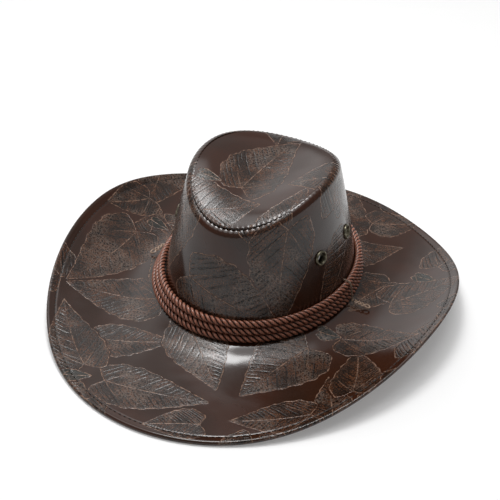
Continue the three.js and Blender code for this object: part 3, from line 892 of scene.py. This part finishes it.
def make_back_seam():
    """Two rows of stitches beside the groove where the side panel's ends meet."""
    low, high = cord_height(2) + CORD + 3, LEVEL + seam_rise(math.pi) - 7
    tubes = []
    for angle in (math.pi - 0.028, math.pi + 0.028):
        row = stitch_row(lambda z, out: wall(angle, z, out), np.linspace(low, high, 15), 0.66, 0.4, (1, 0, 0), 0)
        tubes += row
    tube_piece("back_seam_stitches", tubes, STITCH_YARN, "back_seam_thread")


def make_linings(axes_list):
    def lining_point(angle, radius, row):
        low, high = RIM + 1, LEVEL + seam_rise(angle) - 4
        return wall(angle, low + (high - low) * row, radius - NOTIONAL)

    rows = np.linspace(0, 1, 30)
    profile = [(NOTIONAL - LINING_FACE, row) for row in rows]
    profile += [(NOTIONAL - LINING_BACK, row) for row in rows[::-1]]
    side = piece("crown_side_lining_cloth", turned(profile, lining_point, 300), LINING, "crown_side_lining")
    drilled(side, axes_list)

    shares = np.linspace(0.02, 0.87, 40)
    profile = [(0, -LINING_BACK), *((share, -LINING_BACK) for share in shares)]
    profile += [(share, -LINING_FACE) for share in shares[::-1]] + [(0, -LINING_FACE)]
    top = piece("crown_tip_lining_cloth", turned(profile, tip, 300), LINING, "crown_tip_lining")


def make_sweatband():
    """A ribbon with rounded edges, sewn in near its lower edge."""

    def band_point(angle, radius, height):
        return wall(angle, RIM + 0.4 + height, radius - NOTIONAL)

    def inside_band(angle, height):
        return band_point(angle, middle - half - height, 3)

    turn = np.linspace(0, math.pi, 7)
    middle, half = NOTIONAL - (BAND_FACE + BAND_BACK) / 2, (BAND_BACK - BAND_FACE) / 2
    rows = np.linspace(2, BAND_HEIGHT - 2, 10)
    profile = arc((middle, half), (-half, -half), turn) + [(middle + half, row) for row in rows]
    profile += arc((middle, BAND_HEIGHT - half), (half, half), turn)
    profile += [(middle - half, row) for row in rows[::-1]]
    band = piece("sweatband_ribbon", turned(profile, band_point, 360), RIBBON, "sweatband")
    around = even_angles(lambda angle: inside_band(angle, 0), SWEATBAND_STITCHES)
    row = stitch_row(inside_band, around, 0.62, 0.3)
    tube_piece("sweatband_stitches", row, STITCH_YARN, "sweatband_thread")


def make_eyelets(axes_list):
    """Rolled brass rings through the wall, each with a washer behind the lining."""
    behind = LINING_BACK + 0.8
    hole, roll, cut = 4.3, 0.85, 0.1
    dome = arc(((hole + FLANGE) / 2, 0.35), (1.2, 1.45), np.linspace(0, math.pi, 13))
    rolled = arc((hole + roll, -behind - 1.1), (roll, -0.5), np.linspace(math.pi, 0, 9))
    ring = [*rolled, (BARREL, -behind - roll), (BARREL, 0.3), *dome, (hole, 0)]
    low, inner, outer = -behind - WASHER_THICK, WASHER_INNER, WASHER_OUTER
    face = [(inner, low + cut), (inner + cut, low), (outer - cut, low), (outer, low + cut)]
    washer = face + [(radius, low - behind - height) for radius, height in face[::-1]]
    for (name, _, _), axes in zip(EYELETS, axes_list):
        for kind, profile in (("eyelet", ring), ("eyelet_washer", washer)):
            shape = turned(profile, on_eyelet(axes), 48)
            piece(f"{kind}_{name}_brass", shape, BRASS, f"{kind}_{name}", sharp=50)


# ---- Band ----
STRANDS = 3
STRAND_RADIUS = 1.53
STRAND_OUT = CORD - STRAND_RADIUS  # from a cord's middle to a strand's
LAYS = 40  # turns of a strand round its cord, once round the crown
LAY_STEPS = 22
ROW_LAG = 0.4  # of a turn, between one cord's strands and the next's
KEEPER_HALF_WIDTH, KEEPER_HALF_THICK, KEEPER_BEND = 7.0, 0.45, 1.5


def beside_cord(angle, row, out=0.0, up=0.0):
    """A point by a cord's middle, moved out from the wall and up."""
    at = wall(angle, cord_height(row), CORD_OUT + slack(angle, row) + out)
    at[..., 2] += up
    return at


def make_band():
    for row, name in enumerate(("lower", "middle", "upper")):
        angle = even_angles(lambda a: beside_cord(a, row), LAYS * LAY_STEPS)[:-1]
        core = beside_cord(angle, row)
        tubes = []
        for strand in range(STRANDS):
            phase = TURN * (strand / STRANDS + row * ROW_LAG - np.arange(len(angle)) / LAY_STEPS)
            path = beside_cord(angle, row, STRAND_OUT * np.cos(phase), STRAND_OUT * np.sin(phase))
            tubes.append(tube(path, STRAND_RADIUS, 12, (0, 0, 1), closed=True, core=core))
        tube_piece(f"band_cord_{name}_strands", tubes, CORD_YARN, f"band_cord_{name}")
    make_keeper()


def make_keeper():
    """A leather strap that wraps the cords' joins at the back, with rounded edges."""
    top, bottom = cord_height(2) + CORD + 0.8, cord_height(0) - CORD - 0.5
    face = CORD_OUT + CORD + 0.85
    bend = (face - KEEPER_BEND, bottom + KEEPER_BEND)
    quarter = np.linspace(0, math.pi / 2, 6)
    line = [(CORD_OUT - 1, top), (CORD_OUT + 0.5, top + 0.2)]
    line += arc((bend[0], top - 1.2), (KEEPER_BEND, KEEPER_BEND), quarter[::-1])
    line += [(face, z) for z in np.linspace(top - 3, bottom + 3, 8)]
    line += arc(bend, (KEEPER_BEND, -KEEPER_BEND), quarter)
    line = np.array([*line, (CORD_OUT, bottom)])
    along = np.gradient(line, axis=0)
    normal = unit(np.stack([along[:, 1], -along[:, 0]], 1))
    sides = 28
    turn = np.arange(sides) * TURN / sides
    across = KEEPER_HALF_WIDTH * np.sign(np.cos(turn)) * np.abs(np.cos(turn)) ** 0.25
    thick = KEEPER_HALF_THICK * np.sign(np.sin(turn)) * np.abs(np.sin(turn)) ** 0.6
    spot = line[:, None] + normal[:, None] * thick[None, :, None]
    back_radius = 105.0
    angle = math.pi + np.broadcast_to(across / back_radius, spot.shape[:2])
    grid = wall(angle, spot[..., 1], spot[..., 0])
    grid = grid.reshape(-1, 3)
    faces = [face[:1] + face[:0:-1] for face in grid_faces(len(line), sides, False, True)]
    faces += [range(sides)[::-1], range(len(grid) - sides, len(grid))]
    piece("band_keeper_strap", (grid, faces), STRAP, "band_keeper")


# ---- Ties ----
TIE_OUT = CORD + TIE + 0.4  # from a cord's middle to the tie's over it
TIE_STRANDS, TIE_STRAND_OUT, TIE_STRAND_RADIUS, TIE_LAYS = 2, 0.38, 0.42, 9
KNOT_SIZE, KNOT_DEPTH = 0.34, 0.45
TAIL_THREAD, TAIL_EYES = 0.6, 3
LOOP_HALF_LENGTH, LOOP_START = 2.4, 5.2  # of the loop, and where it starts before the tail's end


def smooth_line(corners, count):
    """Points along a Catmull-Rom curve through corners."""
    p = np.asarray(corners, float)
    p = np.concatenate([[2 * p[0] - p[1]], p, [2 * p[-1] - p[-2]]])
    spans = len(p) - 3
    t = np.linspace(0, spans, count)
    i = np.minimum(t.astype(int), spans - 1)
    f = (t - i)[:, None]
    a, b, c, d = p[i], p[i + 1], p[i + 2], p[i + 3]
    return 0.5 * (2 * b + (c - a) * f + (2 * a - 5 * b + 4 * c - d) * f**2 + (3 * b - a - 3 * c + d) * f**3)


def twisted(path, up):
    """Tubes that wind round a path."""
    across, over = square_to(np.gradient(path, axis=0), up)
    tubes = []
    for strand in range(TIE_STRANDS):
        phase = (TURN * (strand / TIE_STRANDS + TIE_LAYS * np.linspace(0, 1, len(path))))[:, None]
        line = path + TIE_STRAND_OUT * (across * np.cos(phase) + over * np.sin(phase))
        tubes.append(tube(line, TIE_STRAND_RADIUS, 8, up, core=path))
    return tubes


def trefoil():
    """A knot with three lobes, flat in x and y."""
    t = np.linspace(0, TURN, 60, endpoint=False)
    x = KNOT_SIZE * (np.sin(t) + 2 * np.sin(2 * t))
    y = KNOT_SIZE * (np.cos(t) - 2 * np.cos(2 * t))
    return points(x, y, -KNOT_DEPTH * np.sin(3 * t))


def make_ties():
    for name, angle, heading in TIES:
        over = [
            wall(angle, cord_height(2) + CORD + 1.2, TIE + 0.5),
            beside_cord(angle, 2, TIE_OUT - 2, CORD + 0.6),
            beside_cord(angle, 2, TIE_OUT),
            beside_cord(angle, 1, TIE_OUT + 0.2),
            beside_cord(angle, 0, TIE_OUT + 0.2, 1.0),
            beside_cord(angle, 0, TIE_OUT + 0.5, -1.4),
        ]
        along = np.array([math.cos(angle), math.sin(angle), 0])
        outward = np.array([math.sin(angle), -math.cos(angle), 0])
        tubes = twisted(smooth_line(over, 90), along)
        knot = over[-1] + trefoil() @ np.stack([along, [0, 0, 1], outward])
        tubes.append(tube(knot, TIE_STRAND_RADIUS, 8, outward, closed=True))
        tube_piece(f"band_tie_{name}_thread", tubes, TIE_YARN, f"band_tie_{name}")
        make_tail(name, angle, heading)


def make_tail(name, angle, heading):
    """The tie's two ends, loosely twisted into eyes and a loop that lies on the brim."""
    root = beside_cord(angle, 0, TIE_OUT + 2.7, -1.5)
    level = np.array([math.cos(heading), math.sin(heading), 0])
    forward = level * math.cos(TAIL_SLOPE) - np.array([0, 0, math.sin(TAIL_SLOPE)])
    sideways = np.array([-level[1], level[0], 0])
    upward = np.cross(forward, sideways)
    eyes_end = TAIL_LENGTH - LOOP_START
    run = np.linspace(0, 1, 60)
    phase = math.pi * TAIL_EYES * run
    wide = (0.8 + 0.4 * run) * (TAIL_HALF_WIDTH - TAIL_THREAD)
    there = points(run * eyes_end, wide * np.sin(phase), 0.5 * np.cos(phase))
    t = np.linspace(-math.pi, math.pi, 40)[1:-1]
    loop_x = eyes_end + LOOP_HALF_LENGTH + 0.2 + LOOP_HALF_LENGTH * np.cos(t)
    loop = points(loop_x, -TAIL_HALF_WIDTH * np.sin(t), 0)
    back = (there * [1, -1, -1])[::-1]
    line = root + np.concatenate([there, loop, back]) @ np.stack([forward, sideways, upward])
    tail = [tube(smooth_line(line[::3], 200), TAIL_THREAD, 8, upward)]
    tube_piece(f"tie_loop_{name}_thread", tail, TIE_YARN, f"tie_loop_{name}", body=f"{name}_tail")


# ---- Light, floor and camera ----
VIEW_AZIMUTH, VIEW_ELEVATION, VIEW_ROLL = (math.radians(v) for v in (26.31, 34.92, 3.01))
VIEW_DISTANCE, VIEW_HEIGHT = 1100, 30  # from a point this far above the brim's level
LENS, SENSOR, SHIFT = 86.94, 36, -0.0245
LIGHT_PLACE, LIGHT_TARGET = Vector((-190, 130, 1150)), Vector((0, 0, 50))
LIGHT_SIDE, LIGHT_POWER = 340, 5.5
FLOOR_REACH = 60000


def make_light():
    data = bpy.data.lights.new("overhead", "AREA")
    data.shape = "SQUARE"
    data.size = LIGHT_SIDE * MM
    data.energy = LIGHT_POWER
    lamp = placed("overhead", data)
    lamp.location = LIGHT_PLACE * MM
    lamp.rotation_euler = (LIGHT_TARGET - LIGHT_PLACE).to_track_quat("-Z", "Y").to_euler()


def make_sky():
    """A dim sky, brighter overhead, with a bright patch straight up and a glow low on the hat's right."""
    world = bpy.data.worlds.new("studio")
    world.use_nodes = True
    sky = Nodes(world.node_tree)
    ray = sky.add("ShaderNodeTexCoord").outputs["Generated"]

    def patch(axis, start, full, low, high):
        """Light that grows from low to high as the cosine of the angle off an axis goes from start to full."""
        inputs = {0: ray, 1: tuple(Vector(axis).normalized())}
        cosine = sky.add("ShaderNodeVectorMath", inputs, operation="DOT_PRODUCT").outputs["Value"]
        return sky.ease(cosine, start, full, low, high)

    level = patch((-0.2, 0.3, 0.93), 0.66, 0.84, 0.20, 0.50)
    glow = patch((-0.8, 0.5, 0.3), 0.80, 0.93, 0, 0.85)
    cap = patch((-0.17, 0.12, 0.98), 0.86, 0.95, 0, 2.0)
    background = sky.tree.nodes["Background"].inputs
    sky.feed(background["Color"], rgb(1, 1, 1))
    sky.feed(background["Strength"], sky.plus(sky.plus(level, glow), cap))
    return world


def make_floor():
    corners = [(x * FLOOR_REACH, y * FLOOR_REACH, 0) for x, y in ((-1, -1), (1, -1), (1, 1), (-1, 1))]
    floor = placed("floor", new_mesh("floor", corners, [(0, 1, 2, 3)]))
    look = Look("floor_paper")
    look.set(Base_Color=rgb(0.80, 0.80, 0.80), Roughness=0.9)
    look.set(Emission_Color=rgb(1, 1, 1), Emission_Strength=0.2)
    floor.data.materials.append(look.material)


def make_camera():
    turn = Matrix.Rotation(VIEW_AZIMUTH, 4, "Z") @ Matrix.Rotation(math.pi / 2 - VIEW_ELEVATION, 4, "X")
    turn = turn @ Matrix.Rotation(VIEW_ROLL, 4, "Z")
    data = bpy.data.cameras.new("camera")
    data.lens, data.sensor_width, data.shift_x = LENS, SENSOR, SHIFT
    camera = placed("camera", data)
    place = (Vector((0, CENTRE_Y, LEVEL + VIEW_HEIGHT)) + turn.col[2].xyz * VIEW_DISTANCE) * MM
    camera.matrix_world = Matrix.Translation(place) @ turn
    bpy.context.scene.camera = camera


def make_stage():
    bpy.context.scene.view_settings.view_transform = "Standard"
    bpy.context.scene.world = make_sky()
    make_light()
    make_floor()
    make_camera()


make_stage()
make_brim()
make_crown()
make_band()
make_ties()
